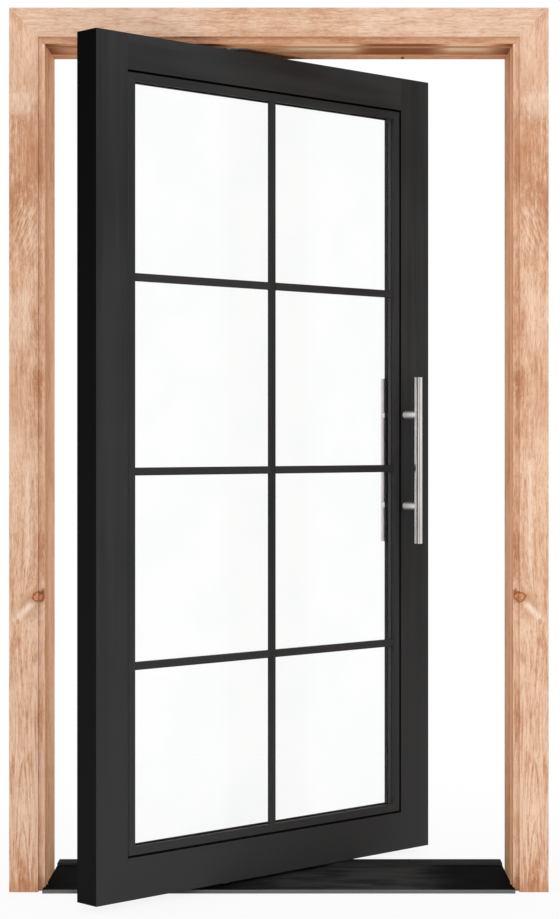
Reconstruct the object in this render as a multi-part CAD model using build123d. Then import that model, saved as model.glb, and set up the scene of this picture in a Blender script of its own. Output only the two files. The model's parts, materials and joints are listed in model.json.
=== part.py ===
from build123d import *
import math
import os

# Pivot door in a timber frame with a black metal sill, stored part open.
# Millimetres. X runs to the right seen from the front, Y goes in through the doorway, Z is up.
# The origin is on the floor, midway between the jambs, in the plane of the casing's front.

# Timber frame
frame_width = 1464.0
frame_height = 2400.0
casing_width = 79.0
casing_thick = 18.0
casing_round = 1.5
reveal = 16.0
jamb_thick = 34.0
jamb_depth = 167.0
lining_depth = 75.0
joint_vee = 1.5
head_rebate = 10.0
tongue_thick = 6.0
tongue_length = 8.0
tongue_clear = 0.2
kerf_setback = 38.0
kerf_width = 4.0
kerf_depth = 7.0
seal_clear = 0.1
jamb_pile = 3.5
head_pile = 5.0

# Sill
sill_thick = 10.0
sill_nose = 18.0
sill_nose_return = 3.0
sill_clear = 0.5
sill_nose_round = 1.0
band_front = 320.0
band_height = 6.0
band_width = 67.0
band_slope = 5.0

# Leaf in its closed place
side_gap = 7.0
top_gap = 12.0
under_gap = 3.0
leaf_setback = 41.0
leaf_thick = 81.0
pivot_stile = 105.0
handle_stile = 118.0
top_rail = 95.0
bottom_rail = 111.0
metal_wall = 3.0
rear_lip = 3.0
splay_width = 41.5
rest_angle = 43.7
leaf_round = 1.0
cap_thick = 3.0
cap_clear = 0.1

# Glazing
shadow_gap = 6.0
gap_depth = 12.0
bead_width = 22.0
bead_setback = 2.0
bead_chamfer = 1.5
bead_leg = 3.0
bead_leg_depth = 6.0
gasket_thick = 3.0
gasket_setback = 1.0
pane_thick = 4.0
pane_space = 12.0
glass_edge_gap = 7.0
spacer_width = 7.0
edge_seal_width = 4.0
setting_block_length = 100.0
setting_block_depth = 16.0
bar_width = 21.0
bar_depth = 11.0
bar_chamfer = 1.5
top_pane_height = 504.0
bottom_pane_height = 463.0

# Corner cleats between the stiles and the rails
cleat_length = 60.0
cleat_thick = 22.0
cleat_clear = 0.1
cleat_bolt_radius = 4.0
cleat_bolt_head_width = 13.0
cleat_bolt_head_height = 5.0
cleat_bolt_grip = 20.0
screw_clear = 0.25

# Pull handles, one on each face, the rear one nearer the leaf's edge
handle_length = 488.0
handle_centre_height = 1167.0
front_handle_edge_distance = 98.0
rear_handle_edge_distance = 52.0
handle_standoff = 49.0
handle_radius = 12.5
handle_wall = 1.5
handle_end_thick = 3.0
post_radius = 13.5
post_spacing = 268.0
stud_radius = 4.0
stud_grip = 25.0
stud_inside = 9.0
stud_nut_width = 13.0
stud_nut_height = 6.5
bolt_hole_clear = 0.5

# Pivots, with the same bearing block and bush at the leaf's bottom and top
pivot_inset = 478.0
pin_radius = 10.0
pin_chamfer = 1.5
running_clear = 0.05
floor_plate_length = 120.0
floor_plate_width = 60.0
floor_plate_clear = 0.5
floor_hole_radius = 3.5
floor_hole_spacing_x = 95.0
floor_hole_spacing_y = 36.0
shoulder_radius = 16.0
shoulder_height = 24.0
shoulder_clear = 0.2
spindle_height = 64.0
washer_radius = 17.0
washer_thick = 2.0
washer_clear = 0.4
block_length = 110.0
block_width = 65.0
block_height = 50.0
bush_radius = 14.0
bush_length = 40.0
housing_length = 90.0
housing_width = 40.0
housing_height = 26.0
housing_flange_length = 130.0
housing_flange_thick = 3.0
housing_clear = 0.3
housing_screw_spacing = 110.0
housing_screw_length = 25.0
housing_screw_radius = 3.0
housing_screw_head_radius = 5.5
housing_screw_head_height = 2.5
top_pin_reach = 40.0
top_pin_hold = 20.0

# Places worked out from the sizes above
opening_half = frame_width / 2 - casing_width - reveal
head_under = frame_height - casing_width - reveal
jamb_outer = opening_half + jamb_thick
jamb_top = head_under + jamb_thick
jamb_back = casing_thick + jamb_depth
frame_back = jamb_back + lining_depth
kerf_front = casing_thick + kerf_setback
sill_back = band_front + band_width
sill_half = opening_half - sill_clear

leaf_left = -opening_half + side_gap
leaf_right = opening_half - side_gap
leaf_bottom = sill_thick + band_height + under_gap
leaf_top = head_under - top_gap
leaf_front = leaf_setback
leaf_back = leaf_front + leaf_thick
pivot_x = leaf_left + pivot_inset
pivot_y = (leaf_front + leaf_back) / 2

glass_front = leaf_front + gap_depth + gasket_thick
glass_space_front = glass_front + pane_thick
glass_space_back = glass_space_front + pane_space
glass_back = glass_space_back + pane_thick
rear_leg_front = glass_back + gasket_thick

# The rebate that the glazing sits in, as its left, right, bottom and top limits
rebate = (
    leaf_left + pivot_stile + shadow_gap,
    leaf_right - handle_stile - shadow_gap,
    leaf_bottom + bottom_rail + shadow_gap,
    leaf_top - top_rail - shadow_gap,
)


def inset(limits, distance):
    """Left, right, bottom and top limits, each moved inwards."""
    left, right, bottom, top = limits
    return left + distance, right - distance, bottom + distance, top - distance


sight = inset(rebate, bead_width)
bar_x = (leaf_left + leaf_right) / 2


def block(x, y, z):
    """Box between two values on each axis."""
    lows = [min(pair) for pair in (x, y, z)]
    highs = [max(pair) for pair in (x, y, z)]
    sizes = [high - low for low, high in zip(lows, highs)]
    centre = [(low + high) / 2 for low, high in zip(lows, highs)]
    return Pos(*centre) * Box(*sizes)


def rod_z(x, y, radius, z0, z1):
    """Upright cylinder."""
    return Pos(x, y, (z0 + z1) / 2) * Cylinder(radius, z1 - z0)


def rod_x(y, z, radius, x0, x1):
    """Cylinder along X."""
    return Pos((x0 + x1) / 2, y, z) * Rot(0, 90, 0) * Cylinder(radius, abs(x1 - x0))


def rod_y(x, z, radius, y0, y1):
    """Cylinder along Y."""
    return Pos(x, (y0 + y1) / 2, z) * Rot(90, 0, 0) * Cylinder(radius, abs(y1 - y0))


def prism_z(points, z0, z1):
    """Outline in X and Y, drawn up along Z."""
    return extrude(Plane.XY.offset(z0) * Polygon(*points, align=None), z1 - z0, dir=(0, 0, 1))


def prism_x(points, x0, x1):
    """Outline in Y and Z, drawn along X."""
    return extrude(Plane.YZ.offset(x0) * Polygon(*points, align=None), x1 - x0, dir=(1, 0, 0))


def prism_y(points, y0, y1):
    """Outline in X and Z, drawn along Y."""
    return extrude(Plane.XZ.offset(-y0) * Polygon(*points, align=None), y1 - y0, dir=(0, 1, 0))


def ring(limits, width, y0, y1):
    """Rectangular ring standing in the leaf, its outer edge on the limits."""
    left, right, bottom, top = limits
    in_left, in_right, in_bottom, in_top = inset(limits, width)
    whole = block((left, right), (y0, y1), (bottom, top))
    return whole - block((in_left, in_right), (y0, y1), (in_bottom, in_top))


def group(pieces):
    """Like pieces kept apart as solids of one node."""
    return Compound([solid for piece in pieces for solid in piece.solids()])


def other_side(part):
    """The same piece on the right-hand side of the frame."""
    return mirror(part, Plane.YZ)


def at_top(part):
    """A piece of the leaf's bottom pivot as it stands upside down at the leaf's top."""
    return mirror(part, Plane.XY.offset((leaf_bottom + leaf_top) / 2))


# Timber frame
def casing_upright():
    """Left casing, mitred at its top."""
    outer = -frame_width / 2
    inner = outer + casing_width
    outline = [(outer, 0), (inner, 0), (inner, frame_height - casing_width), (outer, frame_height)]
    board = prism_y(outline, 0, casing_thick)
    return fillet(board.edges().filter_by(Axis.Z).group_by(Axis.Y)[0], casing_round)


def casing_head():
    """Top casing, mitred at both ends."""
    outer = frame_width / 2
    inner = outer - casing_width
    low = frame_height - casing_width
    outline = [(-outer, frame_height), (outer, frame_height), (inner, low), (-inner, low)]
    board = prism_y(outline, 0, casing_thick)
    return fillet(board.edges().filter_by(Axis.X).group_by(Axis.Y)[0], casing_round)


def jamb():
    """Left jamb board: head rebate, seal groove and tongue groove."""
    inner = -opening_half
    board = block((-jamb_outer, inner), (casing_thick, jamb_back), (0, jamb_top))
    board = chamfer(board.edges().filter_by(Axis.Z).group_by(Axis.X)[-1].sort_by(Axis.Y)[-1], joint_vee)
    board -= block((inner - head_rebate, inner), (casing_thick, jamb_back), (head_under, jamb_top))
    board -= block((inner - kerf_depth, inner), (kerf_front, kerf_front + kerf_width), (0, head_under))
    middle = -(opening_half + jamb_outer) / 2
    groove = (middle - tongue_thick / 2, middle + tongue_thick / 2)
    board -= block(groove, (jamb_back - tongue_length, jamb_back), (0, jamb_top))
    return board


def head_board():
    """Head board between the jambs, its ends glued into their rebates."""
    half = opening_half + head_rebate
    board = block((-half, half), (casing_thick, jamb_back), (head_under, jamb_top))
    board = chamfer(board.edges().filter_by(Axis.X).group_by(Axis.Z)[0].sort_by(Axis.Y)[-1], joint_vee)
    kerf_z = (head_under, head_under + kerf_depth)
    board -= block((-opening_half, opening_half), (kerf_front, kerf_front + kerf_width), kerf_z)
    middle = (head_under + jamb_top) / 2
    groove = (middle - tongue_thick / 2, middle + tongue_thick / 2)
    board -= block((-half, half), (jamb_back - tongue_length, jamb_back), groove)
    return board - top_housing_recess()


def lining():
    """Left rear lining, tongued into the back edge of its jamb."""
    board = block((-jamb_outer, -opening_half), (jamb_back, frame_back), (0, jamb_top))
    board = chamfer(board.edges().filter_by(Axis.Z).group_by(Axis.X)[-1].sort_by(Axis.Y)[0], joint_vee)
    middle = -(opening_half + jamb_outer) / 2
    half = tongue_thick / 2 - tongue_clear
    front = jamb_back - tongue_length + tongue_clear
    return board + block((middle - half, middle + half), (front, jamb_back), (0, jamb_top))


def lining_head():
    """Rear lining of the head, between the two side linings."""
    board = block((-opening_half, opening_half), (jamb_back, frame_back), (head_under, jamb_top))
    board = chamfer(board.edges().filter_by(Axis.X).group_by(Axis.Z)[0].sort_by(Axis.Y)[0], joint_vee)
    middle = (head_under + jamb_top) / 2
    half = tongue_thick / 2 - tongue_clear
    front = jamb_back - tongue_length + tongue_clear
    return board + block((-opening_half, opening_half), (front, jamb_back), (middle - half, middle + half))


def pile_seal(pile):
    """Seal for the groove: a backing that fills it and a narrower pile standing out of it."""
    centre = kerf_front + kerf_width / 2
    backing = kerf_width / 2 - seal_clear
    brush = kerf_width / 4
    return centre, backing, brush, pile


def jamb_seal():
    """Left pile seal, from the sill's top to the head."""
    centre, backing, brush, pile = pile_seal(jamb_pile)
    inner = -opening_half
    z = (sill_thick, head_under - head_pile)
    base = block((inner - kerf_depth + seal_clear, inner), (centre - backing, centre + backing), z)
    return base + block((inner, inner + pile), (centre - brush, centre + brush), z)


def head_seal():
    """Pile seal across the head, between the two side seals."""
    centre, backing, brush, pile = pile_seal(head_pile)
    half = opening_half - seal_clear
    base_z = (head_under, head_under + kerf_depth - seal_clear)
    base = block((-half, half), (centre - backing, centre + backing), base_z)
    return base + block((-half, half), (centre - brush, centre + brush), (head_under - pile, head_under))


def sill():
    """Sill plate with a raised band along its back and a pocket for the pivot's floor plate."""
    top = sill_thick + band_height
    section = [
        (-sill_nose, 0),
        (sill_back, 0),
        (sill_back, top),
        (band_front + band_slope, top),
        (band_front, sill_thick),
        (-sill_nose, sill_thick),
    ]
    plate = prism_x(section, -sill_half, sill_half)
    nose_half = opening_half + sill_nose_return
    nose = block((-nose_half, nose_half), (-sill_nose, casing_thick - sill_clear), (0, sill_thick))
    plate = plate + nose
    front_edges = plate.edges().filter_by(Axis.X).group_by(Axis.Y)[0]
    plate = fillet(front_edges.sort_by(Axis.Z)[-1], sill_nose_round)
    return plate - floor_plate_outline(floor_plate_clear)


# Leaf
def splay_angle():
    """Angle of the splayed rear edge beside the glass, from the leaf's depth."""
    return math.atan2(splay_width, leaf_back - rear_leg_front - rear_lip)


def member_outline(width):
    """Section of a stile or rail as (distance from the leaf's outer edge, depth behind its front)."""
    floor = width + shadow_gap
    leg = floor + bead_width
    rear = rear_leg_front - leaf_front
    return [
        (0, 0),
        (width, 0),
        (width, gap_depth),
        (floor, gap_depth),
        (floor, rear),
        (leg, rear),
        (leg, rear + rear_lip),
        (leg - splay_width, leaf_thick),
        (0, leaf_thick),
    ]


def cavity_outline(width, wall):
    """Outline of the hollow inside a stile or rail, one wall thickness in from its section."""
    floor = width + shadow_gap
    leg = floor + bead_width
    rear = rear_leg_front - leaf_front
    angle = splay_angle()
    tip = wall / math.cos(angle) + (wall - rear_lip) * math.tan(angle)
    heel = splay_width + wall * (1 - math.sin(angle)) / math.cos(angle)
    return [
        (wall, wall),
        (width - wall, wall),
        (width - wall, gap_depth + wall),
        (floor - wall, gap_depth + wall),
        (floor - wall, rear + wall),
        (leg - tip, rear + wall),
        (leg - heel, leaf_thick - wall),
        (wall, leaf_thick - wall),
    ]


def stile_prism(side, outline, z0=leaf_bottom, z1=leaf_top):
    """Outline drawn up a stile; side is -1 for the pivot side and 1 for the handle side."""
    edge = leaf_left if side < 0 else leaf_right
    return prism_z([(edge - side * s, leaf_front + n) for s, n in outline], z0, z1)


def rail_prism(side, outline):
    """Outline drawn along a rail; side is -1 for the bottom and 1 for the top."""
    edge = leaf_bottom if side < 0 else leaf_top
    return prism_x([(leaf_front + n, edge - side * s) for s, n in outline], leaf_left, leaf_right)


def stile(side, width):
    """Hollow stile, open at both ends, with the holes that its fixings need."""
    body = stile_prism(side, member_outline(width))
    long_edges = body.edges().filter_by(Axis.Z).group_by(Axis.X)
    body = fillet(long_edges[0] if side < 0 else long_edges[-1], leaf_round)
    body -= stile_prism(side, cavity_outline(width, metal_wall))
    for bolt_z in cleat_bolt_heights():
        floor = stile_floor(side)
        body -= rod_x(cleat_y(), bolt_z, cleat_bolt_radius + screw_clear, floor + side * metal_wall, floor)
    if side > 0:
        for face in (-1, 1):
            foot = handle_foot(face)
            for z in post_heights():
                body -= rod_y(handle_x(face), z, stud_radius + bolt_hole_clear, foot, foot - face * metal_wall)
    return body


def stile_floor(side):
    """X of the rebate floor at a stile."""
    return rebate[0] if side < 0 else rebate[1]


def stile_caps(side, width):
    """Two caps that close a stile's ends."""
    outline = cavity_outline(width, metal_wall + cap_clear)
    low = stile_prism(side, outline, leaf_bottom, leaf_bottom + cap_thick)
    high = stile_prism(side, outline, leaf_top - cap_thick, leaf_top)
    return group([low, high])


def rail(side, width):
    """Hollow rail, coped round the stiles at both ends."""
    body = rail_prism(side, member_outline(width)) - rail_prism(side, cavity_outline(width, metal_wall))
    body -= stile_prism(-1, member_outline(pivot_stile))
    body -= stile_prism(1, member_outline(handle_stile))
    return body


def pivot_rail(side, width):
    """Rail with the hole for its pivot."""
    hole = rod_z(pivot_x, pivot_y, washer_radius + bolt_hole_clear, leaf_bottom, leaf_bottom + metal_wall)
    return rail(side, width) - (hole if side < 0 else at_top(hole))


# Corner cleats
def cleat_y():
    """Depth of the cleats' middle, between the shadow gap and the glazing's rear leg."""
    return (leaf_front + gap_depth + rear_leg_front) / 2


def cleat_span(side, width):
    """Heights between which a cleat fills its rail."""
    edge = leaf_bottom if side < 0 else leaf_top
    near = metal_wall + cleat_clear
    far = width - metal_wall - cleat_clear
    return sorted((edge - side * near, edge - side * far))


def cleat_bolt_heights():
    """Heights of the bolts through each stile, one to a cleat."""
    return sum(cleat_span(-1, bottom_rail)) / 2, sum(cleat_span(1, top_rail)) / 2


def cleat_bolt(side, z, clear=0.0):
    """Bolt from inside a stile into a cleat, or its hole when a clearance is given."""
    floor = stile_floor(side)
    seat = floor + side * metal_wall
    tip = floor - side * (cleat_bolt_grip + clear)
    head_end = seat + side * cleat_bolt_head_height
    hexagon = Plane.YZ * Pos(cleat_y(), z) * RegularPolygon(cleat_bolt_head_width / 2, 6, major_radius=False)
    head = Pos(min(seat, head_end), 0, 0) * extrude(hexagon, cleat_bolt_head_height, dir=(1, 0, 0))
    return head + rod_x(cleat_y(), z, cleat_bolt_radius + clear, tip, seat)


def corner_cleats():
    """Four solid cleats in the ends of the rails."""
    cleats = []
    depth = (cleat_y() - cleat_thick / 2, cleat_y() + cleat_thick / 2)
    for side in (-1, 1):
        floor = stile_floor(side)
        for rail_side, width in ((-1, bottom_rail), (1, top_rail)):
            cleat = block((floor, floor - side * cleat_length), depth, cleat_span(rail_side, width))
            for z in cleat_bolt_heights():
                cleat -= cleat_bolt(side, z, screw_clear)
            cleats.append(cleat)
    return group(cleats)


def cleat_bolts():
    """Four bolts that pull the rails to the stiles."""
    return group([cleat_bolt(side, z) for side in (-1, 1) for z in cleat_bolt_heights()])


# Glazing
def side_outline(side, outer, width):
    """Trapezium in X and Z for one side of a mitred ring."""
    left, right, bottom, top = outer
    in_left, in_right, in_bottom, in_top = inset(outer, width)
    outlines = {
        "left": [(left, bottom), (in_left, in_bottom), (in_left, in_top), (left, top)],
        "right": [(right, bottom), (right, top), (in_right, in_top), (in_right, in_bottom)],
        "bottom": [(left, bottom), (right, bottom), (in_right, in_bottom), (in_left, in_bottom)],
        "top": [(left, top), (in_left, in_top), (in_right, in_top), (right, top)],
    }
    return outlines[side]


def bead(side):
    """Glazing bead: a flat face with a chamfered inner edge and a short leg clipped in the rebate."""
    front = leaf_front + bead_setback
    back = leaf_front + gap_depth
    face = prism_y(side_outline(side, rebate, bead_width), front, back)
    along, across, last = {
        "left": (Axis.Z, Axis.X, -1),
        "right": (Axis.Z, Axis.X, 0),
        "bottom": (Axis.X, Axis.Z, -1),
        "top": (Axis.X, Axis.Z, 0),
    }[side]
    inner_edge = face.edges().filter_by(along).group_by(across)[last].sort_by(Axis.Y)[0]
    face = chamfer(inner_edge, bead_chamfer)
    return face + prism_y(side_outline(side, rebate, bead_leg), back, back + bead_leg_depth)


def gasket(y0):
    """Glazing gasket, a ring just behind the sight line."""
    outer = inset(rebate, glass_edge_gap)
    return ring(outer, bead_width - glass_edge_gap - gasket_setback, y0, y0 + gasket_thick)


def pane(y0):
    """One pane of the sealed unit."""
    left, right, bottom, top = inset(rebate, glass_edge_gap)
    return block((left, right), (y0, y0 + pane_thick), (bottom, top))


def edge_seal():
    """Sealant round the unit's edge, between the panes."""
    return ring(inset(rebate, glass_edge_gap), edge_seal_width, glass_space_front, glass_space_back)


def spacer():
    """Metal spacer that keeps the panes apart."""
    outer = inset(rebate, glass_edge_gap + edge_seal_width)
    return ring(outer, spacer_width, glass_space_front, glass_space_back)


def setting_blocks():
    """Two blocks that the unit stands on, at its quarter points."""
    left, right, bottom, top = rebate
    depth = (glass_back - setting_block_depth, glass_back)
    blocks = []
    for share in (0.25, 0.75):
        middle = left + share * (right - left)
        span = (middle - setting_block_length / 2, middle + setting_block_length / 2)
        blocks.append(block(span, depth, (bottom, bottom + glass_edge_gap)))
    return group(blocks)


def bar_tops():
    """Upper edges of the cross bars, from the top one down."""
    left, right, bottom, top = sight
    first = top - top_pane_height
    last = bottom + bottom_pane_height + bar_width
    return first, (first + last) / 2, last


def bar_depths():
    """Front and back of the glazing bars, which are bonded to the glass."""
    return glass_front - bar_depth, glass_front


def upright_bar():
    """Full-height glazing bar on the leaf's middle."""
    left, right, bottom, top = sight
    bar = block((bar_x - bar_width / 2, bar_x + bar_width / 2), bar_depths(), (bottom, top))
    return chamfer(bar.edges().filter_by(Axis.Z).group_by(Axis.Y)[0], bar_chamfer)


def cross_bar(column, top_edge):
    """Short glazing bar from the upright bar to a bead."""
    left, right, bottom, top = sight
    span = (left, bar_x - bar_width / 2) if column == "left" else (bar_x + bar_width / 2, right)
    bar = block(span, bar_depths(), (top_edge - bar_width, top_edge))
    return chamfer(bar.edges().filter_by(Axis.X).group_by(Axis.Y)[0], bar_chamfer)


# Pull handles
def handle_x(face):
    """X of a handle's axis; face is -1 for the front and 1 for the back."""
    return leaf_right - (front_handle_edge_distance if face < 0 else rear_handle_edge_distance)


def post_heights():
    """Heights of the two posts."""
    return handle_centre_height - post_spacing / 2, handle_centre_height + post_spacing / 2


def handle_foot(face):
    """Y of the face that a handle stands on."""
    return leaf_front if face < 0 else leaf_back


def handle_axis_y(face):
    """Y of a handle's axis."""
    return handle_foot(face) + face * handle_standoff


def handle_ends():
    """Lowest and highest points of the handles."""
    return handle_centre_height - handle_length / 2, handle_centre_height + handle_length / 2


def handle_bar(face):
    """Tube of a pull handle."""
    low, high = handle_ends()
    x = handle_x(face)
    y = handle_axis_y(face)
    return rod_z(x, y, handle_radius, low, high) - rod_z(x, y, handle_radius - handle_wall, low, high)


def handle_end_discs(face):
    """Flat discs that close a handle's tube."""
    low, high = handle_ends()
    x = handle_x(face)
    y = handle_axis_y(face)
    radius = handle_radius - handle_wall
    discs = [
        rod_z(x, y, radius, low, low + handle_end_thick),
        rod_z(x, y, radius, high - handle_end_thick, high),
    ]
    return group(discs)


def handle_posts(face):
    """Two posts from the leaf's face to the handle, coped round the tube and bored for the studs."""
    low, high = handle_ends()
    x = handle_x(face)
    y = handle_axis_y(face)
    foot = handle_foot(face)
    tube = rod_z(x, y, handle_radius, low, high)
    bore_end = foot + face * (stud_grip + screw_clear)
    posts = []
    for z in post_heights():
        post = rod_y(x, z, post_radius, foot, y) - tube
        posts.append(post - rod_y(x, z, stud_radius + screw_clear, foot, bore_end))
    return group(posts)


def handle_stud(face, z):
    """Stud from a post through the stile's wall, with its nut drawn up inside."""
    foot = handle_foot(face)
    seat = foot - face * metal_wall
    nut_end = seat - face * stud_nut_height
    stud = rod_y(handle_x(face), z, stud_radius, seat - face * stud_inside, foot + face * stud_grip)
    hexagon = Plane.XZ * Pos(handle_x(face), z) * RegularPolygon(stud_nut_width / 2, 6, major_radius=False)
    return stud + Pos(0, min(seat, nut_end), 0) * extrude(hexagon, stud_nut_height, dir=(0, 1, 0))


def handle_studs():
    """Four studs, two to a handle."""
    return group([handle_stud(face, z) for face in (-1, 1) for z in post_heights()])


# Pivots
def floor_plate_outline(clear=0.0):
    """Plate as thick as the sill, or the pocket for it when a clearance is given."""
    half_x = floor_plate_length / 2 + clear
    half_y = floor_plate_width / 2 + clear
    return block((pivot_x - half_x, pivot_x + half_x), (pivot_y - half_y, pivot_y + half_y), (0, sill_thick))


def floor_plate():
    """Floor plate with four screw holes, bored for the spindle."""
    plate = floor_plate_outline() - rod_z(pivot_x, pivot_y, shoulder_radius + shoulder_clear, 0, sill_thick)
    for side_x in (-1, 1):
        for side_y in (-1, 1):
            x = pivot_x + side_x * floor_hole_spacing_x / 2
            y = pivot_y + side_y * floor_hole_spacing_y / 2
            plate -= rod_z(x, y, floor_hole_radius, 0, sill_thick)
    return plate


def spindle():
    """Turned spindle: a shoulder that stands in the floor plate and carries the leaf, and a plain journal."""
    journal = rod_z(pivot_x, pivot_y, pin_radius, shoulder_height, spindle_height)
    journal = chamfer(journal.edges().group_by(Axis.Z)[-1], pin_chamfer)
    return rod_z(pivot_x, pivot_y, shoulder_radius, 0, shoulder_height) + journal


def top_pin():
    """Pin that reaches down out of the housing into the leaf."""
    pin = rod_z(pivot_x, pivot_y, pin_radius, leaf_top - top_pin_reach, head_under + top_pin_hold)
    return chamfer(pin.edges().group_by(Axis.Z)[0], pin_chamfer)


def thrust_washer():
    """Washer in the bottom block's recess that slides on the spindle's shoulder."""
    low = shoulder_height + running_clear
    disc = rod_z(pivot_x, pivot_y, washer_radius, low, low + washer_thick)
    return disc - rod_z(pivot_x, pivot_y, pin_radius + washer_clear, low, low + washer_thick)


def bush_seat():
    """Height at which the bottom block rests on the washer."""
    return shoulder_height + running_clear + washer_thick


def bush():
    """Bush that turns on the spindle."""
    low = bush_seat()
    high = low + bush_length
    outside = rod_z(pivot_x, pivot_y, bush_radius, low, high)
    return outside - rod_z(pivot_x, pivot_y, pin_radius + running_clear, low, high)


def bearing_block():
    """Block in the bottom rail, bored for the bush and recessed for the washer."""
    low = leaf_bottom + metal_wall
    x = (pivot_x - block_length / 2, pivot_x + block_length / 2)
    y = (pivot_y - block_width / 2, pivot_y + block_width / 2)
    body = block(x, y, (low, low + block_height))
    body -= rod_z(pivot_x, pivot_y, washer_radius + bolt_hole_clear, low, bush_seat())
    body -= rod_z(pivot_x, pivot_y, bush_radius, low, bush_seat() + bush_length)
    return body


def top_housing_recess():
    """Room for the top housing and its flange, cut up into the head board."""
    return top_housing_outline(housing_clear) + housing_screw_holes()


def top_housing_outline(clear=0.0):
    """Housing with a flange flush in the head's underside."""
    body_x = housing_length / 2 + clear
    body_y = housing_width / 2 + clear
    flange_x = housing_flange_length / 2 + clear
    flange_top = head_under + housing_flange_thick
    y = (pivot_y - body_y, pivot_y + body_y)
    body = block((pivot_x - body_x, pivot_x + body_x), y, (head_under, head_under + housing_height + clear))
    return body + block((pivot_x - flange_x, pivot_x + flange_x), y, (head_under, flange_top))


def housing_screw_places():
    """X of the two screws in the flange."""
    return pivot_x - housing_screw_spacing / 2, pivot_x + housing_screw_spacing / 2


def housing_screw(x, clear=0.0):
    """Countersunk screw up through the flange into the head board."""
    cone = Cone(housing_screw_head_radius + clear, housing_screw_radius + clear, housing_screw_head_height)
    head = Pos(x, pivot_y, head_under + housing_screw_head_height / 2) * cone
    tip = head_under + housing_screw_length + clear
    return head + rod_z(x, pivot_y, housing_screw_radius + clear, head_under, tip)


def housing_screw_holes():
    """Both flange screws with their clearance."""
    first, second = housing_screw_places()
    return housing_screw(first, screw_clear) + housing_screw(second, screw_clear)


def housing_screws():
    """Two flange screws."""
    return group([housing_screw(x) for x in housing_screw_places()])


def top_housing():
    """Top pivot housing, bored for its pin."""
    pin_hole = rod_z(pivot_x, pivot_y, pin_radius + running_clear, head_under, head_under + top_pin_hold)
    return top_housing_outline() - pin_hole - housing_screw_holes()


def frame_pieces():
    """Everything that stays still."""
    return {
        "casing_left": casing_upright(),
        "casing_right": other_side(casing_upright()),
        "casing_head": casing_head(),
        "jamb_left": jamb(),
        "jamb_right": other_side(jamb()),
        "head_board": head_board(),
        "lining_left": lining(),
        "lining_right": other_side(lining()),
        "lining_head": lining_head(),
        "pile_seal_left": jamb_seal(),
        "pile_seal_right": other_side(jamb_seal()),
        "pile_seal_head": head_seal(),
        "sill": sill(),
        "floor_plate": floor_plate(),
        "top_housing": top_housing(),
        "top_housing_screws": housing_screws(),
        "pivot_pins": group([spindle(), top_pin()]),
    }


def leaf_pieces():
    """Everything that swings, in its closed place."""
    pieces = {
        "pivot_stile": stile(-1, pivot_stile),
        "handle_stile": stile(1, handle_stile),
        "top_rail": pivot_rail(1, top_rail),
        "bottom_rail": pivot_rail(-1, bottom_rail),
        "pivot_stile_caps": stile_caps(-1, pivot_stile),
        "handle_stile_caps": stile_caps(1, handle_stile),
        "corner_cleats": corner_cleats(),
        "cleat_bolts": cleat_bolts(),
        "front_gasket": gasket(glass_front - gasket_thick),
        "rear_gasket": gasket(glass_back),
        "front_pane": pane(glass_front),
        "rear_pane": pane(glass_space_back),
        "glass_spacer": spacer(),
        "glass_edge_seal": edge_seal(),
        "setting_blocks": setting_blocks(),
        "upright_bar": upright_bar(),
        "handle_studs": handle_studs(),
        "bearing_blocks": group([bearing_block(), at_top(bearing_block())]),
        "bearings": group([thrust_washer(), bush(), at_top(bush())]),
    }
    for side in ("left", "right", "bottom", "top"):
        pieces[f"bead_{side}"] = bead(side)
    for row, top_edge in enumerate(bar_tops(), start=1):
        for column in ("left", "right"):
            pieces[f"cross_bar_{column}_{row}"] = cross_bar(column, top_edge)
    for face, name in ((-1, "front"), (1, "rear")):
        pieces[f"{name}_handle"] = handle_bar(face)
        pieces[f"{name}_handle_ends"] = handle_end_discs(face)
        pieces[f"{name}_handle_posts"] = handle_posts(face)
    return pieces


def main():
    """Write each piece, with the leaf turned to the angle at which it is stored."""
    os.makedirs("parts", exist_ok=True)
    pivot_axis = Axis((pivot_x, pivot_y, 0), (0, 0, 1))
    pieces = frame_pieces()
    for name, piece in leaf_pieces().items():
        pieces[name] = piece.rotate(pivot_axis, rest_angle)
    for name, piece in pieces.items():
        export_step(piece, f"parts/{name}.step")


main()
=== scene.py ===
import json
import math
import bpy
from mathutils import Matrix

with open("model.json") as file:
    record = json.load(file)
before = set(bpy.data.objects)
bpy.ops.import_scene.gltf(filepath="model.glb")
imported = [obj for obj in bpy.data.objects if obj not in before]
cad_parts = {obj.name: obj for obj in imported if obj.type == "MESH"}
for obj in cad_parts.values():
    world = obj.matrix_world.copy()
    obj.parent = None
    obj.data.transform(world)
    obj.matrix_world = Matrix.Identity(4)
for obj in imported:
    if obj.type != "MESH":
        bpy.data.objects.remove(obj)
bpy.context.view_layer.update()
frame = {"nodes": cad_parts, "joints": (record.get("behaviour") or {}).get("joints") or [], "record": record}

from types import SimpleNamespace

import bpy
from mathutils import Vector

# Dresses the pivot door for its photograph: materials, floor, white background, lamps and camera.
# Metres. X runs to the right seen from the front, Y goes in through the doorway, Z is up from the floor.

nodes = frame["nodes"]
slots = {row["node"]: row["material_slot"] for row in frame["record"]["subparts"]}


def srgb(red, green, blue, alpha=1.0):
    """Colour written in 0 to 255 as the linear colour that a shader takes."""
    def linear(value):
        value /= 255
        return value / 12.92 if value <= 0.04045 else ((value + 0.055) / 1.055) ** 2.4
    return (linear(red), linear(green), linear(blue), alpha)


# The photograph's camera: focal length and picture centre in pixels of its 560 by 919 frame
PHOTO_WIDTH, PHOTO_HEIGHT = 560, 919
FOCAL_PIXELS = 2186.69
CENTRE_X, CENTRE_Y = 297.04, 441.48
CAMERA_PLACE = (0.04935, -5.9318, 1.2227)
SENSOR_MM = 36.0

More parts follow.
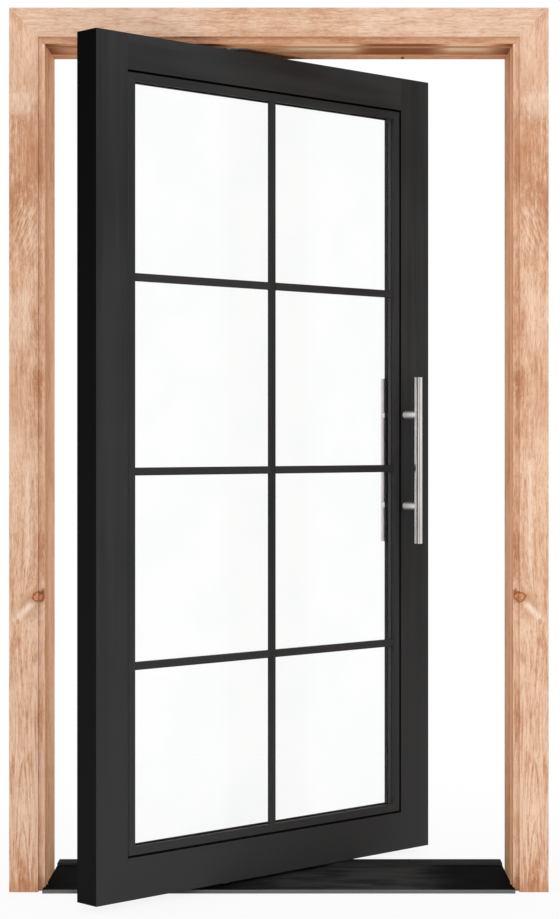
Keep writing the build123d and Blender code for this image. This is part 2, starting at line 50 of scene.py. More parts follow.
# Lamps, each with its place, aim and power in watts
LAMP_SIZE = 2.4
LAMPS = {
    "key_front": ((0.4, -7.0, 2.7), (0.0, 0.0, 1.2), 86),
    "key_left": ((-3.6, -6.0, 2.4), (0.0, 0.0, 1.2), 32),
    "fill_back": ((3.2, 4.4, 2.0), (-0.6, 0.1, 1.2), 60),
}
# Light that the background gives, where 1 is the white that the camera sees
AMBIENT = 0.78

# Floor: near the door it shows more of the shadow, further off it fades into the white background
FLOOR_SIZE = 400.0
FLOOR_DROP = 0.0005
FLOOR_DARKER, FLOOR_PALER = (0.91, 0.91, 0.91, 1.0), (0.95, 0.95, 0.95, 1.0)
FLOOR_GLOW = 0.89
GLOW_NEAR, GLOW_FAR = 0.8, 2.6
WHITE = (1.0, 1.0, 1.0, 1.0)

# Black card that only reflections see: the dark line down the round pull handles
CARD_PLACE = (-0.70, -2.3, 1.2)
CARD_AIM = (0.407, 0.488, 1.2)
CARD_WIDTH, CARD_HEIGHT = 1.9, 3.0

# Wood tones: pale, middle and dark
UPRIGHT_TONES = (srgb(242, 203, 173), srgb(211, 158, 122), srgb(172, 102, 60))
# The left jamb's front edge: the uprights' wood made paler, painted light that lifts the shade in its recess
LEFT_EDGE_PAINTED_LIGHT_TONES = (srgb(254, 216, 186), srgb(232, 179, 142), srgb(192, 118, 74))
HEAD_TONES = (srgb(241, 208, 183), srgb(222, 180, 150), srgb(190, 130, 92))
# The head board's front edge: the head's wood made darker, painted shade under the head casing
HEAD_EDGE_PAINTED_SHADE_TONES = (srgb(228, 182, 148), srgb(205, 152, 116), srgb(172, 102, 60))
# The reveals' wood: a warmer, more saturated copy of the wood, painted shade for the boards inside the
# doorway
REVEAL_PAINTED_SHADE_TONES = (srgb(242, 190, 150), srgb(224, 164, 122), srgb(172, 102, 60))

# Wood noise: cells per metre across the grain, in depth and along it, then detail and roughness
WAVE = (3.0, 1.0, 2.4, 2.0, 0.55)
PATCH = (5.0, 5.0, 2.3, 3.0, 0.5)
BLOTCH = (15.0, 11.0, 7.5, 5.0, 0.68)
STREAK = (130.0, 100.0, 8.0, 4.0, 0.62)
FIBRE = (360.0, 280.0, 42.0, 3.0, 0.62)
SPECK = (480.0, 400.0, 190.0, 2.0, 0.5)
VEIN = (17.0, 10.0, 1.5, 3.0, 0.5)
WAVE_BEND = 0.03
BLOTCH_SHARE, STREAK_SHARE, PATCH_SHARE = 0.42, 0.34, 0.44
VEIN_DEPTH = 0.26

# A span has the value where a tint begins and the one where it is full, then its least and its most.
# A band has the values where a tint begins, is full, fades and ends.

# Heights on the uprights: paler low down and high up, browner at the foot, arched grain below
PALER_LOW, LOW_TINT = (1.15, 0.35, 0.0, 0.30), srgb(252, 222, 198)
PALER_HIGH, HIGH_TINT = (1.65, 2.20, 0.0, 0.30), srgb(252, 220, 196)
BROWNER_FOOT, FOOT_TINT = (0.045, 0.0, 0.0, 0.45), srgb(178, 110, 66)
ARCHED_BELOW = (0.50, 0.30)

# Marks on the uprights, which mirror each other: X is counted from the doorway's middle.
# Each spot has its centre in X and Z and its half size in X and Z.
KNOT = (0.6535, 0.8015, 0.0145, 0.0125)
KNOT_SPUR = (0.6410, 0.8140, 0.0070, 0.0080)
KNOT_STAIN = (0.676, 0.776, 0.026, 0.040)
FLECK = (0.709, 0.735, 0.0050, 0.0075)
FAN = (0.694, 1.800, 0.042, 0.085)
# Large soft patches, each with its colour and how strongly it tints the wood
SOFT_PATCHES = (
    ((0.698, 2.140, 0.046, 0.042), srgb(255, 230, 208), 0.44),
    ((0.652, 2.020, 0.050, 0.075), srgb(196, 132, 90), 0.42),
    ((0.738, 1.880, 0.026, 0.060), srgb(186, 120, 78), 0.60),
    ((0.700, 1.560, 0.040, 0.110), srgb(255, 226, 202), 0.34),
    ((0.682, 1.020, 0.007, 0.190), srgb(255, 230, 208), 0.60),
    ((0.715, 1.330, 0.030, 0.090), srgb(196, 134, 94), 0.34),
)
# How far round the knot the grain is pushed aside, in X and Z, and how much
PUSH_HALF_X, PUSH_HALF_Z, PUSH_SHARE = 0.030, 0.050, 0.75
# The pale streak that runs from the knot outwards and down: a point on it and its direction's two shares
PALE_RUN_X, PALE_RUN_Z = 0.692, 0.760
RUN_OUT, RUN_DOWN = 0.688, 0.726
# Slant of the fan's strands, and their cells per metre across and along
SLANT_UP, SLANT_IN = 0.93, 0.37
STRANDS_ACROSS, STRANDS_ALONG = 190.0, 22.0
# Arched grain: the arches' middle, their half width, their rows per metre, their steepness and their waver
ARCH_X, ARCH_HALF, ARCH_ROWS, ARCH_RISE, ARCH_WAVER = 0.694, 0.018, 6.0, 1.2, 0.8
ARCH_LINE, ARCH_SHARE = (0.15, 0.03), 0.80
# Tints of the marks
STRAND_PALE, STRAND_DARK = srgb(255, 234, 214), srgb(176, 110, 70)
STAIN_TINT, PALE_RUN_TINT, FLECK_TINT = srgb(200, 146, 110), srgb(255, 230, 208), srgb(184, 112, 68)
KNOT_HALO, KNOT_RIM, SPUR_TINT = srgb(186, 126, 90), srgb(146, 70, 34), srgb(150, 78, 42)
HEART_DARK, HEART_PALE = srgb(190, 116, 72), srgb(228, 166, 124)
# How far the rims of small and of large spots waver: noise cells per metre, detail, roughness, strength
FINE_WAVER = (85.0, 3.0, 0.55, 1.5)
LARGE_WAVER = (16.0, 4.0, 0.6, 2.2)

# Underside of the head board: its limits in Y and Z, then the painted light and painted shade that change in
# Y and in X
BOARD_BACK, BOARD_UNDER = (0.188, 0.182), (2.312, 2.307)
HEAD_PAINTED_LIGHT_FRONT, HEAD_PAINTED_SHADE_BACK = (0.10, 0.03, 0.0, 0.55), (0.09, 0.18, 0.0, 0.60)
HEAD_PAINTED_LIGHT_LEFT, HEAD_PAINTED_LIGHT_RIGHT = (-0.02, 0.06, 0.19, 0.25), (0.43, 0.48, 0.55, 0.60)
HEAD_PAINTED_LIGHT_DEPTH, HEAD_PAINTED_LIGHT_SHARE, HEAD_PAINTED_LIGHT_TINT = (0.165, 0.08), 0.95, srgb(255, 226, 190)
HEAD_PAINTED_SHADE_MIDDLE, HEAD_PAINTED_SHADE_CORNERS = (0.19, 0.26, 0.40, 0.48), (0.57, 0.64)
HEAD_PAINTED_SHADE_SHARE, HEAD_PAINTED_SHADE_TINT = 0.88, srgb(142, 80, 44)
# The small dark mark's centre and half size in X and Y
MARK_X, MARK_Y, MARK_HALF_X, MARK_HALF_Y = 0.347, 0.240, 0.0045, 0.020
MARK_TINT = srgb(84, 44, 26)

# Black coats
BLACK, LEAF_FOOT, LEAF_FOOT_TOP = srgb(52, 52, 52), srgb(60, 60, 60), 1.1
# Painted shade: a deeper black for the leaf's long edges and shadow gap, paler towards its foot
LEAF_PAINTED_SHADE_BLACK, LEAF_PAINTED_SHADE_FOOT, LEAF_PAINTED_SHADE_FOOT_TOP = srgb(11, 11, 11), srgb(27, 27, 27), 2.3
# Painted light: a paler black for the shadow gap's pivot side and the bead's outer side
GAP_PAINTED_LIGHT_BLACK = srgb(92, 92, 92)
# The sill's second colour is a painted sheen on its top
SILL_BLACK, SILL_PAINTED_SHEEN, SILL_BAND = srgb(16, 16, 16), srgb(60, 60, 60), srgb(47, 47, 47)
BAND_LOW, BAND_HIGH = 0.0102, 0.0120
SILL_LIP = srgb(108, 108, 109)
# Painted reflection of the black leaf along the handle posts' top and bottom
ROD_PAINTED_REFLECTION = (0.03, 0.03, 0.03, 1.0)

# Bare metals
HANDLE_METAL, POST_METAL = (0.74, 0.74, 0.74, 1.0), (0.95, 0.95, 0.95, 1.0)
PIVOT_METAL, MILL_METAL = (0.30, 0.30, 0.31, 1.0), (0.60, 0.60, 0.61, 1.0)
ZINC, BRONZE = (0.56, 0.57, 0.60, 1.0), (0.60, 0.42, 0.22, 1.0)

# Which faces of a node get another finish: by how far they face a way, and by where they lie on the leaf
EDGE_SHARE = 0.9
EDGE_BAND = 0.002
FRONT_TO_PIVOT = 0.0405
GAP_NEAR, GAP_FAR = 0.0015, 0.0125
FRONT_SHARE = -0.9
LIP_DEPTH = -0.017

LEVEL_NODES = {"top_rail", "bottom_rail", "bead_top", "bead_bottom"}
HEAD_NODES = {"casing_head", "head_board", "lining_head"}


class Graph:
    """The node graph of a material or world, with short ways to add nodes to it."""

    def __init__(self, owner):
        self.owner = owner
        owner.use_nodes = True
        self.tree = owner.node_tree
        self.tree.nodes.clear()

    def put(self, socket, value):
        """Links a socket to another node's output, or sets its value."""
        if isinstance(value, bpy.types.NodeSocket):
            self.tree.links.new(value, socket)
        elif value is not None:
            socket.default_value = value

    def add(self, kind, inputs=None, **settings):
        """Adds a node with its inputs, by name or number, and its settings."""
        node = self.tree.nodes.new(kind)
        for key, value in settings.items():
            setattr(node, key, value)
        for key, value in (inputs or {}).items():
            self.put(node.inputs[key], value)
        return node

    def math(self, operation, a, b=None, clamp=False):
        node = self.add("ShaderNodeMath", {0: a, 1: b}, operation=operation, use_clamp=clamp)
        return node.outputs[0]

    def product(self, first, *others):
        for other in others:
            first = self.math("MULTIPLY", first, other)
        return first

    def total(self, first, *others):
        for other in others:
            first = self.math("ADD", first, other)
        return first

    def minus(self, a, b):
        return self.math("SUBTRACT", a, b)

    def size(self, value):
        return self.math("ABSOLUTE", value)

    def squares(self, a, b):
        """Sum of two values' squares."""
        return self.total(self.product(a, a), self.product(b, b))

    def reach(self, a, b):
        """Length of a line with these two sides."""
        return self.math("SQRT", self.squares(a, b))

    def from_spot(self, value, centre, half):
        """Distance from a centre, where 1 is half a size away."""
        return self.math("DIVIDE", self.minus(value, centre), half)

    def stretched(self, place, cells):
        """Place multiplied by cells per metre in X, Y and Z."""
        return self.add("ShaderNodeVectorMath", {0: place, 1: cells}, operation="MULTIPLY").outputs[0]

    def split(self, vector):
        return self.add("ShaderNodeSeparateXYZ", {0: vector}).outputs

    def join(self, x, y, z):
        return self.add("ShaderNodeCombineXYZ", {0: x, 1: y, 2: z}).outputs[0]

    def mix(self, factor, a, b):
        """Colour between a and b. The node's colour sockets have numbers, as their names aren't unique."""
        return self.add("ShaderNodeMix", {0: factor, 6: a, 7: b}, data_type="RGBA").outputs[2]

    def noise(self, vector, scale, detail=3.0, roughness=0.55):
        inputs = {"Vector": vector, "Scale": scale, "Detail": detail, "Roughness": roughness}
        return self.add("ShaderNodeTexNoise", inputs).outputs["Fac"]

    def waver(self, scale, detail, roughness, strength):
        """Noise in all directions that swings round 0."""
        return self.product(self.minus(self.noise(self.place(), scale, detail, roughness), 0.5), strength)

    def span(self, value, low, high, to_low=0.0, to_high=1.0):
        """Maps a range of values onto another, clamped and smooth."""
        inputs = {"Value": value, "From Min": low, "From Max": high, "To Min": to_low, "To Max": to_high}
        return self.add("ShaderNodeMapRange", inputs, interpolation_type="SMOOTHSTEP").outputs["Result"]

    def band(self, value, start, full, fade, end):
        """Rises from 0 to 1 between start and full, and falls back to 0 between fade and end."""
        return self.product(self.span(value, start, full), self.span(value, end, fade))

    def place(self):
        return self.add("ShaderNodeTexCoord").outputs["Object"]

    def bump(self, height, strength, distance):
        inputs = {"Height": height, "Strength": strength, "Distance": distance}
        return self.add("ShaderNodeBump", inputs).outputs["Normal"]

    def looked_at(self):
        """1 for rays from the camera, a reflection or a clear surface, 0 for light that falls on things."""
        path = self.add("ShaderNodeLightPath").outputs
        seen = self.math("ADD", path["Is Camera Ray"], path["Is Glossy Ray"], clamp=True)
        return self.math("ADD", seen, path["Is Transmission Ray"], clamp=True)

    def either(self, factor, first, second):
        """Shader between two shaders."""
        inputs = {0: factor, 1: first.outputs[0], 2: second.outputs[0]}
        return self.add("ShaderNodeMixShader", inputs)

    def surface(self, **inputs):
        """Principled surface; an underscore in a name stands for a space."""
        named = {key.replace("_", " "): value for key, value in inputs.items()}
        return self.output(self.add("ShaderNodeBsdfPrincipled", named))

    def output(self, shader, kind="ShaderNodeOutputMaterial"):
        """Ends the graph with a shader and gives back what the graph belongs to."""
        self.add(kind, {"Surface": shader.outputs[0]})
        return self.owner


def material_graph(name):
    """Graph of a new material."""
    return Graph(bpy.data.materials.new(name))


def shades(colour, contrast):
    """A darker and a paler shade of a colour."""
    darker = tuple(value * (1 - contrast) for value in colour[:3]) + (1.0,)
    paler = tuple(value * (1 + contrast) for value in colour[:3]) + (1.0,)
    return darker, paler


def push_of_knot(g, x, z):
    """How far the knot pushes the grain aside."""
    near = g.squares(g.from_spot(x, KNOT[0], PUSH_HALF_X), g.from_spot(z, KNOT[1], PUSH_HALF_Z))
    pull = g.math("DIVIDE", 1.0, g.total(1.0, g.product(near, near)))
    return g.product(g.minus(x, KNOT[0]), pull, PUSH_SHARE)


def upright_marks(g, w):
    """Marks of the two uprights: arched grain, paler and browner parts, slanting strands and the knot."""
    x, z = w.x, w.z
    side = g.from_spot(x, ARCH_X, ARCH_HALF)
    waver = g.product(w.blotch, ARCH_WAVER)
    arch = g.total(g.product(z, ARCH_ROWS), g.product(side, side, ARCH_RISE), waver)
    line = g.span(g.size(g.minus(g.math("FRACT", arch), 0.5)), *ARCH_LINE)
    line = g.product(line, g.span(z, *ARCHED_BELOW), g.span(w.fibre, 0.38, 0.56), ARCH_SHARE)
    base = g.mix(line, w.base, w.dark)

    low_down = g.product(g.span(z, *PALER_LOW), g.span(w.streak, 0.40, 0.60))
    high_up = g.product(g.span(z, *PALER_HIGH), g.span(w.patch, 0.36, 0.56, 0.35, 1.0))
    base = g.mix(low_down, base, LOW_TINT)
    base = g.mix(g.span(z, *BROWNER_FOOT), base, FOOT_TINT)
    base = g.mix(high_up, base, HIGH_TINT)

    fine_waver = g.waver(*FINE_WAVER)
    large_waver = g.waver(*LARGE_WAVER)

    def ring(spot, uneven=fine_waver):
        """Distance from a spot's centre, 1 at its uneven rim."""
        centre_x, centre_z, half_x, half_z = spot
        reach = g.reach(g.from_spot(x, centre_x, half_x), g.from_spot(z, centre_z, half_z))
        return g.total(reach, uneven)

    grainy = g.span(w.fibre, 0.34, 0.60, 0.45, 1.0)
    for spot, colour, share in SOFT_PATCHES:
        inside = g.span(ring(spot, large_waver), 1.35, 0.45, 0.0, share)
        base = g.mix(g.product(inside, grainy), base, colour)

    # Fan of slanting strands
    lean = g.total(g.product(x, SLANT_UP), g.product(z, SLANT_IN))
    rise = g.minus(g.product(z, SLANT_UP), g.product(x, SLANT_IN))
    spot = g.join(g.product(lean, STRANDS_ACROSS), 0.0, g.product(rise, STRANDS_ALONG))
    strand = g.noise(spot, 1.0, 4.0, 0.65)
    fan = g.span(ring(FAN, large_waver), 1.5, 0.4)
    base = g.mix(g.product(fan, g.span(strand, 0.49, 0.64, 0.0, 0.46)), base, STRAND_PALE)
    base = g.mix(g.product(fan, g.span(strand, 0.48, 0.36, 0.0, 0.46)), base, STRAND_DARK)

    # Stain beside the knot, with a pale streak that runs down and outwards to a small fleck
    base = g.mix(g.span(ring(KNOT_STAIN), 1.5, 0.5, 0.0, 0.55), base, STAIN_TINT)
    run_x = g.minus(x, PALE_RUN_X)
    run_z = g.minus(z, PALE_RUN_Z)
    off = g.size(g.total(g.product(run_x, RUN_DOWN), g.product(run_z, RUN_OUT)))
    off = g.total(off, g.product(fine_waver, 0.004))
    down = g.size(g.minus(g.product(run_x, RUN_OUT), g.product(run_z, RUN_DOWN)))
    pale_run = g.product(g.span(off, 0.015, 0.0), g.span(down, 0.050, 0.018),
                         g.span(w.fibre, 0.30, 0.60, 0.35, 1.0))
    base = g.mix(pale_run, base, PALE_RUN_TINT)
    base = g.mix(g.span(ring(FLECK), 1.7, 0.5, 0.0, 0.55), base, FLECK_TINT)

    # Knot: a thin dark uneven rim round a warm heart, with a darker spur on its inner upper side
    knot = ring(KNOT)
    base = g.mix(g.span(knot, 2.4, 0.9, 0.0, 0.45), base, KNOT_HALO)
    mottle = g.span(g.noise(g.place(), 260.0, 2.0), 0.4, 0.6)
    heart = g.mix(mottle, HEART_DARK, HEART_PALE)
    base = g.mix(g.span(knot, 1.0, 0.8), base, heart)
    rim = g.band(knot, 0.66, 0.92, 1.02, 1.28)
    base = g.mix(g.product(rim, 0.78), base, KNOT_RIM)
    base = g.mix(g.span(ring(KNOT_SPUR), 1.4, 0.5, 0.0, 0.65), base, SPUR_TINT)
    w.base = base
    w.height = g.minus(w.height, rim)


def head_painted_light_shade_and_mark(g, w):
    """Underside of the head board: painted light in front and painted shade behind, painted light patches,
    painted shade in its middle and corners, and a small dark mark.
    """
    under = g.span(w.z, *BOARD_UNDER)
    board = g.product(g.span(w.y, *BOARD_BACK), under)
    base = g.mix(g.product(board, g.span(w.y, *HEAD_PAINTED_LIGHT_FRONT)), w.base, w.pale)
    base = g.mix(g.product(board, g.span(w.y, *HEAD_PAINTED_SHADE_BACK)), base, w.dark)
    # Painted light patches, then painted shade in the middle and the corners
    painted_light = g.total(g.band(w.side_x, *HEAD_PAINTED_LIGHT_LEFT), g.band(w.side_x, *HEAD_PAINTED_LIGHT_RIGHT))
    painted_light = g.product(painted_light, board, g.span(w.y, *HEAD_PAINTED_LIGHT_DEPTH), HEAD_PAINTED_LIGHT_SHARE)
    base = g.mix(painted_light, base, HEAD_PAINTED_LIGHT_TINT)
    painted_shade = g.math("ADD", g.band(w.side_x, *HEAD_PAINTED_SHADE_MIDDLE), g.span(w.x, *HEAD_PAINTED_SHADE_CORNERS), clamp=True)
    base = g.mix(g.product(painted_shade, board, HEAD_PAINTED_SHADE_SHARE), base, HEAD_PAINTED_SHADE_TINT)
    mark = g.reach(g.from_spot(w.side_x, MARK_X, MARK_HALF_X), g.from_spot(w.y, MARK_Y, MARK_HALF_Y))
    w.base = g.mix(g.product(g.span(mark, 1.5, 0.6, 0.0, 0.9), under), base, MARK_TINT)


def wood(name, along, tones, seed=0.0, sheen=0.2, marks=None):
    """Planed softwood with its grain along one axis: patches, blotches, streaks, fibres, specks and veins.

    The seed moves the grain along, and marks adds what only some boards have: real marks, and on the head
    board's underside painted light and painted shade.
    """
    pale, mid, dark = tones
    g = material_graph(name)
    side_x, y, z = g.split(g.place())
    x = g.size(side_x)
    across, length = (x, z) if along == "Z" else (z, x)
    length = g.total(length, seed)

    def field(cells, line):
        over, depth, run, detail, roughness = cells
        spot = g.join(g.product(line, over), g.product(y, depth), g.product(length, run))
        return g.noise(spot, 1.0, detail, roughness)

    # Low, wide waves bend the grain, and a knot pushes it aside
    bent = g.total(across, g.product(g.minus(field(WAVE, across), 0.5), WAVE_BEND))
    if marks is upright_marks:
        bent = g.minus(bent, push_of_knot(g, x, z))
    patch, blotch = field(PATCH, across), field(BLOTCH, across)
    streak, fibre, speck = field(STREAK, bent), field(FIBRE, bent), field(SPECK, bent)
    tone = g.total(g.product(blotch, BLOTCH_SHARE), g.product(streak, STREAK_SHARE),
                   g.product(patch, PATCH_SHARE))
    base = g.mix(g.span(tone, 0.53, 0.69), mid, pale)
    # Each layer tints the wood from none at its first value up to a share at its second
    for layer, none_at, full_at, share, tint in (
            (tone, 0.59, 0.46, 0.55, dark),
            (streak, 0.54, 0.68, 0.50, pale),
            (fibre, 0.52, 0.34, 0.44, dark),
            (fibre, 0.52, 0.66, 0.62, pale),
            (speck, 0.45, 0.30, 0.24, dark),
            (speck, 0.55, 0.68, 0.40, pale)):
        base = g.mix(g.span(layer, none_at, full_at, 0.0, share), base, tint)
    vein = g.size(g.minus(field(VEIN, bent), 0.5))
    vein = g.product(g.span(vein, 0.012, 0.003), g.span(patch, 0.44, 0.56), VEIN_DEPTH)
    base = g.mix(vein, base, dark)
    w = SimpleNamespace(side_x=side_x, x=x, y=y, z=z, patch=patch, blotch=blotch, streak=streak, fibre=fibre,
                        base=base, height=g.total(fibre, g.product(speck, 0.5)), pale=pale, dark=dark)
    if marks:
        marks(g, w)
    return g.surface(Base_Color=w.base, Roughness=g.span(fibre, 0.3, 0.7, 0.70, 0.58),
                     Specular_IOR_Level=sheen, Normal=g.bump(w.height, 0.25, 0.0006))


def coated_metal(name, colour, streaks, clouds, rough, level, contrast, foot=None, foot_top=None):
    """Satin black coat with soft streaks, clouds and a fine texture, which may grow paler towards its foot.

    Streaks and clouds are given as cells per metre in X, Y and Z, and level is the shader's specular level.
    """
    g = material_graph(name)
    place = g.place()
    streak = g.noise(g.stretched(place, streaks), 1.0, 3.0, 0.5)
    cloud = g.noise(g.stretched(place, clouds), 1.0, 2.0, 0.5)
    tone = g.total(g.product(streak, 0.6), g.product(cloud, 0.4))
    darker, paler = shades(colour, contrast)
    base = g.mix(g.span(tone, 0.36, 0.64), darker, paler)
    if foot:
        base = g.mix(g.span(g.split(place)[2], foot_top, 0.0), base, foot)
    grit = g.noise(place, 900.0, 2.0, 0.5)
    return g.surface(Base_Color=base, Roughness=g.span(tone, 0.35, 0.65, rough + 0.05, rough - 0.04),
                     Specular_IOR_Level=level, Normal=g.bump(grit, 0.06, 0.0003))


def sill_coat(name):
    """Black coat of the sill with a painted sheen that makes it paler across its middle, and paler on its
    raised band.
    """
    g = material_graph(name)
    place = g.place()
    x, _, z = g.split(place)
    ripple = g.noise(g.stretched(place, (5.0, 16.0, 4.0)), 1.0, 4.0, 0.6)
    # Painted sheen: paler across the middle, broken up by ripples
    painted_sheen = g.product(g.band(x, -0.20, 0.06, 0.34, 0.50), g.span(ripple, 0.30, 0.62, 0.25, 1.0))
    base = g.mix(painted_sheen, SILL_BLACK, SILL_PAINTED_SHEEN)
    base = g.mix(g.span(z, BAND_LOW, BAND_HIGH), base, SILL_BAND)
    grit = g.noise(place, 700.0, 2.0, 0.5)
    return g.surface(Base_Color=base, Roughness=g.span(ripple, 0.3, 0.7, 0.66, 0.55),
                     Specular_IOR_Level=0.002, Normal=g.bump(grit, 0.06, 0.0003))


def bare_metal(name, colour, scratches, rough, contrast=0.25, metallic=1.0, relief=0.08, painted_leaf_reflection=False):
    """Bare metal brushed or turned: fine scratches, given as cells per metre in X, Y and Z.

    A level rod that stands on the black leaf gets a painted reflection of it: darker along its top and
    bottom.
    """
    g = material_graph(name)
    place = g.place()
    scratch = g.noise(g.stretched(place, scratches), 1.0, 4.0, 0.65)
    cloud = g.noise(place, 22.0, 2.0, 0.5)
    tone = g.total(g.product(scratch, 0.7), g.product(cloud, 0.3))
    base = g.mix(g.span(tone, 0.38, 0.62), shades(colour, contrast)[0], colour)
    if painted_leaf_reflection:
        # Painted reflection of the black leaf: darker where the rod faces up or down
        up_or_down = g.size(g.split(g.add("ShaderNodeNewGeometry").outputs["Normal"])[2])
        base = g.mix(g.span(up_or_down, 0.25, 0.85, 0.0, 0.86), base, ROD_PAINTED_REFLECTION)
    return g.surface(Base_Color=base, Metallic=metallic,
                     Roughness=g.span(tone, 0.35, 0.65, rough + 0.08, rough - 0.06),
                     Normal=g.bump(scratch, relief, 0.0002))


def soft_plain(name, colour, rough, cells, relief):
    """Rubber, packers, pile and card: one colour with a fine mottled relief of so many cells per metre."""
    g = material_graph(name)
    mottle = g.noise(g.place(), cells, 3.0, 0.6)
    base = g.mix(g.span(mottle, 0.35, 0.65), shades(colour, 0.2)[0], colour)
    return g.surface(Base_Color=base, Roughness=rough, Specular_IOR_Level=0.2,
                     Normal=g.bump(mottle, 0.4, relief))


def clear_glass(name):
    """Clear pane: see-through, with reflections that grow at low angles and a faint film on its face."""
    g = material_graph(name)
    film = g.noise(g.place(), 5.0, 3.0, 0.6)
    through = g.mix(g.span(film, 0.35, 0.7), (0.992, 0.998, 0.996, 1.0), WHITE)
    clear = g.add("ShaderNodeBsdfTransparent", {"Color": through})
    shine = g.add("ShaderNodeBsdfGlossy", {"Roughness": g.span(film, 0.3, 0.7, 0.0, 0.03)})
    edge = g.add("ShaderNodeFresnel", {"IOR": 1.3}).outputs[0]
    outward = g.minus(1.0, g.add("ShaderNodeNewGeometry").outputs["Backfacing"])
    return g.output(g.either(g.product(edge, outward), clear, shine))


wood_finishes = {
    "upright": wood("wood_upright", "Z", UPRIGHT_TONES, marks=upright_marks),
    "left_edge_painted_light": wood("wood_jamb_front_painted_light", "Z", LEFT_EDGE_PAINTED_LIGHT_TONES, marks=upright_marks),
    "head": wood("wood_head", "X", HEAD_TONES, seed=3.7),
    "head_edge_painted_shade": wood("wood_head_strip_painted_shade", "X", HEAD_EDGE_PAINTED_SHADE_TONES, seed=2.1),
    "upright_reveal": wood("wood_upright_reveal_painted_shade", "Z", REVEAL_PAINTED_SHADE_TONES, seed=1.3, sheen=0.04),
    "head_reveal": wood("wood_head_reveal_painted_shade", "X", REVEAL_PAINTED_SHADE_TONES, seed=5.1, sheen=0.04, marks=head_painted_light_shade_and_mark),
}
materials = {
    "leaf_upright": coated_metal(
        "leaf_coat_upright", BLACK, streaks=(34.0, 34.0, 0.9), clouds=(3.0, 3.0, 2.5),
        rough=0.55, level=0.04, contrast=0.18, foot=LEAF_FOOT, foot_top=LEAF_FOOT_TOP),
    "leaf_level": coated_metal(
        "leaf_coat_level", BLACK, streaks=(1.6, 1.6, 22.0), clouds=(3.0, 3.0, 5.0),
        rough=0.55, level=0.04, contrast=0.18, foot=LEAF_FOOT, foot_top=LEAF_FOOT_TOP),
    "leaf_edge_and_gap_painted_shade": coated_metal(
        "leaf_coat_edge_and_gap_painted_shade", LEAF_PAINTED_SHADE_BLACK, streaks=(14.0, 14.0, 0.8), clouds=(2.0, 2.0, 1.5),
        rough=0.6, level=0.004, contrast=0.12, foot=LEAF_PAINTED_SHADE_FOOT, foot_top=LEAF_PAINTED_SHADE_FOOT_TOP),
    "leaf_gap_painted_light": coated_metal(
        "leaf_coat_gap_painted_light", GAP_PAINTED_LIGHT_BLACK, streaks=(14.0, 14.0, 0.8), clouds=(2.0, 2.0, 1.5),
        rough=0.6, level=0.02, contrast=0.12),
    "sill": sill_coat("sill_coat"),
    "sill_lip": coated_metal(
        "sill_lip_coat", SILL_LIP, streaks=(3.0, 3.0, 60.0), clouds=(4.0, 6.0, 4.0),
        rough=0.5, level=0.2, contrast=0.1),
    "handle_steel": bare_metal(
        "brushed_steel", HANDLE_METAL, scratches=(900.0, 900.0, 14.0),
        rough=0.20, contrast=0.2, relief=0.01),
    "post_steel": bare_metal(
        "satin_steel", POST_METAL, scratches=(300.0, 300.0, 300.0),
        rough=0.3, contrast=0.12, metallic=0.3, painted_leaf_reflection=True),
    "pivot_steel": bare_metal("turned_steel", PIVOT_METAL, scratches=(40.0, 40.0, 700.0), rough=0.3),
    "fixing_steel": bare_metal("zinc_plate", ZINC, scratches=(220.0, 220.0, 220.0), rough=0.36),
    "cleat_metal": bare_metal("mill_metal", MILL_METAL, scratches=(240.0, 14.0, 14.0), rough=0.4),
    "bronze": bare_metal("bearing_bronze", BRONZE, scratches=(60.0, 60.0, 500.0), rough=0.32),
    "seal_pile": soft_plain("brown_pile", srgb(238, 190, 152), rough=0.9, cells=1400.0, relief=0.0006),
    "head_pile": soft_plain("head_pile", srgb(206, 152, 112), rough=0.9, cells=1400.0, relief=0.0006),
    "rubber": soft_plain("black_rubber", srgb(22, 22, 22), rough=0.7, cells=500.0, relief=0.0003),
    "packer": soft_plain("packer_plastic", srgb(70, 70, 72), rough=0.5, cells=300.0, relief=0.0002),
    "clear_glass": clear_glass("clear_pane"),
}


def finish_of(node):
    """Material of one CAD node."""
    slot = slots[node]
    if slot == "timber":
        kind = "head" if node in HEAD_NODES else "upright"
        # Boards inside the doorway take the reveal wood, whose colour is painted shade
        return wood_finishes[kind if node.startswith("casing") else kind + "_reveal"]
    if slot == "leaf_metal":
        level = node in LEVEL_NODES or node.startswith("cross_bar")
        return materials["leaf_level" if level else "leaf_upright"]
    if slot == "sill_metal":
        return materials["sill"]
    if node == "pile_seal_head":
        return materials["head_pile"]
    if node.endswith("handle_posts"):
        return materials["post_steel"]
    return materials[slot]


def finish_faces(node, material, chosen):
    """Gives a node's faces that are chosen by their normal and centre another material."""
    mesh = nodes[node].data
    if material not in list(mesh.materials):
        mesh.materials.append(material)
    index = list(mesh.materials).index(material)
    for polygon in mesh.polygons:
        if chosen(polygon.normal, polygon.center):
            polygon.material_index = index


for node, obj in nodes.items():
    obj.data.materials.clear()
    obj.data.materials.append(finish_of(node))
    for polygon in obj.data.polygons:
        polygon.use_smooth = False

# The leaf stands turned by its rest angle
swing = next(joint for joint in frame["joints"] if joint["name"] == "leaf_swing")
rest_turn = -math.radians(swing["range_deg"][0])
along_leaf = Vector((math.cos(rest_turn), math.sin(rest_turn), 0.0))
into_leaf = Vector((-math.sin(rest_turn), math.cos(rest_turn), 0.0))
pivot = Vector(swing["pos_m"])


def in_gap(normal, centre):
    """Whether a face lies in the shadow gap, by its depth behind the leaf's front."""
    return GAP_NEAR < (centre - pivot).dot(into_leaf) + FRONT_TO_PIVOT < GAP_FAR


